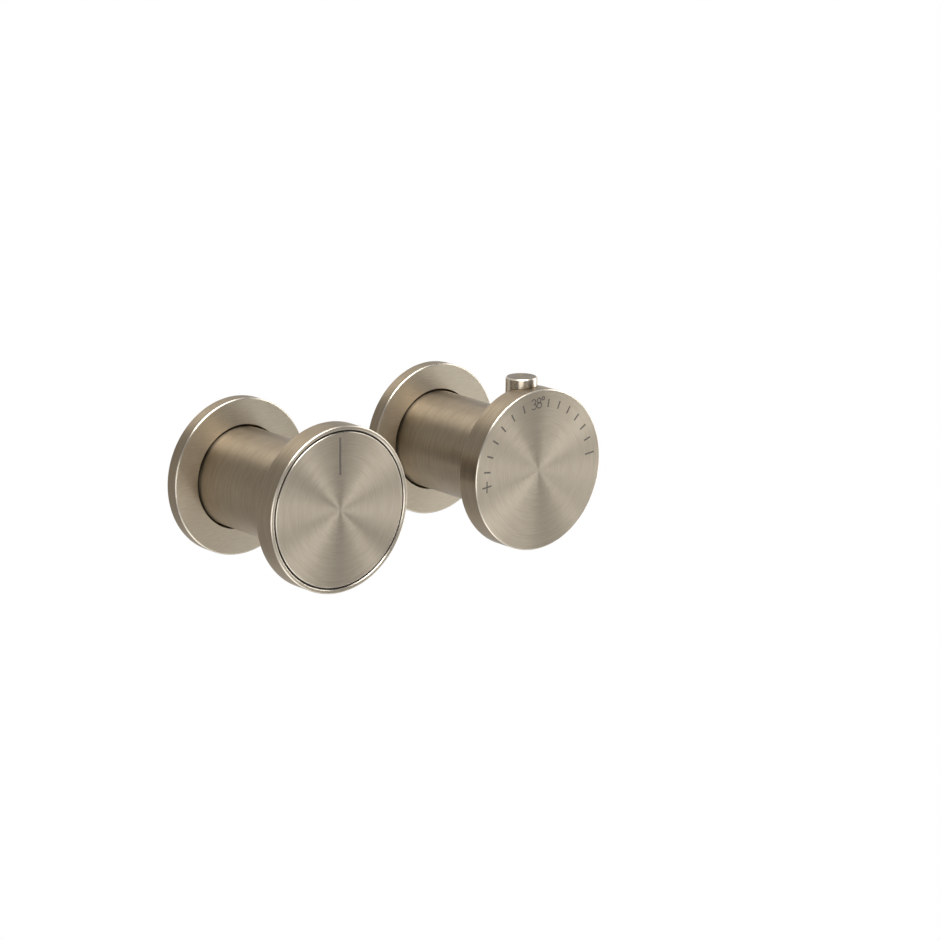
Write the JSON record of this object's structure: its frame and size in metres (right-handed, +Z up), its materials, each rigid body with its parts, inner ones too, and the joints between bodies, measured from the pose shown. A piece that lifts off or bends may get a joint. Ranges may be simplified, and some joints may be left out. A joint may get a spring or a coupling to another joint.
{
  "type": "shower mixer",
  "caption": "Concealed shower mixer with a stop knob and a thermostatic knob on round stems and wall rosettes, an override button, and a brass valve body on a wall bracket.",
  "frame": {"origin": "centre of the four wall-fixing holes, on the back face of the wall bracket", "axes": "+X along the wall to the right, +Z up, -Y out of the wall towards the user"},
  "size_m": [0.216, 0.146, 0.1],
  "materials": {
    "brushed_nickel": "brushed nickel plate",
    "brass": "machined brass",
    "stainless": "stainless steel",
    "spring_steel": "drawn spring wire",
    "rubber": "moulded rubber",
    "ceramic": "lapped ceramic",
    "copper": "drawn copper cup",
    "plastic": "moulded acetal"
  },
  "bodies": {
    "valve": {"wall_bracket": "stainless", "bracket_screws": "stainless", "valve_body": "brass", "stop_rosette": "brushed_nickel", "stop_rosette_gasket": "rubber", "stop_carrier": "brass", "stop_rosette_ring": "rubber", "thermo_rosette": "brushed_nickel", "thermo_rosette_gasket": "rubber", "thermo_carrier": "brass", "thermo_rosette_ring": "rubber", "thermo_extension_tube": "brass", "temperature_stop_ring": "plastic", "headwork_housing": "brass", "headwork_seal": "rubber", "headwork_ring": "rubber", "fixed_ceramic_disc": "ceramic", "cartridge_housing": "plastic", "cartridge_rings": "rubber", "cartridge_nut": "brass", "return_spring": "spring_steel", "hot_strainer": "stainless", "hot_check_cage": "plastic", "hot_check_spring": "spring_steel", "cold_strainer": "stainless", "cold_check_cage": "plastic", "cold_check_spring": "spring_steel"},
    "stop_handle": {"stop_knob": "brushed_nickel", "stop_knob_insert": "brushed_nickel", "insert_ring": "rubber", "knob_screw": "stainless", "stop_extension_rod": "brass", "turning_ceramic_disc": "ceramic", "stop_spindle": "brass", "stop_spindle_clip": "stainless", "stop_spindle_ring": "rubber"},
    "thermo_handle": {"thermo_knob": "brushed_nickel", "thermo_grub_screw": "stainless", "thermo_extension_rod": "brass", "thermo_spindle": "brass", "thermo_spindle_clip": "stainless", "thermo_spindle_ring": "rubber", "button_spring": "spring_steel"},
    "button": {"override_button": "brushed_nickel", "button_clip": "stainless"},
    "shuttle": {"shuttle_piston": "stainless", "shuttle_ring": "rubber", "wax_element": "copper", "regulating_nut": "brass", "overtravel_spring": "spring_steel"},
    "hot_check": {"hot_check_poppet": "plastic"},
    "cold_check": {"cold_check_poppet": "plastic"}
  },
  "joints": [
    {"name": "stop_turn", "type": "hinge", "parent": "valve", "child": "stop_handle", "pos_m": [-0.05, 0, 0], "axis": [0, -1, 0], "range_deg": [0, 90]},
    {"name": "temperature_turn", "type": "hinge", "parent": "valve", "child": "thermo_handle", "pos_m": [0.05, 0, 0], "axis": [0, 1, 0], "range_deg": [-90, 90]},
    {"name": "override_press", "type": "slide", "parent": "thermo_handle", "child": "button", "axis": [0, 0, -1], "range_m": [0, 0.003], "stiffness_N_per_m": 800, "springref_m": -0.002, "deforming": ["button_spring"]},
    {"name": "shuttle_slide", "type": "slide", "parent": "valve", "child": "shuttle", "axis": [0, -1, 0], "range_m": [-0.0008, 0.0008], "deforming": ["return_spring"]},
    {"name": "hot_check_lift", "type": "slide", "parent": "valve", "child": "hot_check", "axis": [0, 0, 1], "range_m": [0, 0.0025], "stiffness_N_per_m": 200, "springref_m": -0.002, "deforming": ["hot_check_spring"]},
    {"name": "cold_check_lift", "type": "slide", "parent": "valve", "child": "cold_check", "axis": [0, 0, 1], "range_m": [0, 0.0025], "stiffness_N_per_m": 200, "springref_m": -0.002, "deforming": ["cold_check_spring"]}
  ],
  "couplings": [
    {"joint": "shuttle_slide", "follows": "temperature_turn", "m_per_rad": 0.0005}
  ]
}
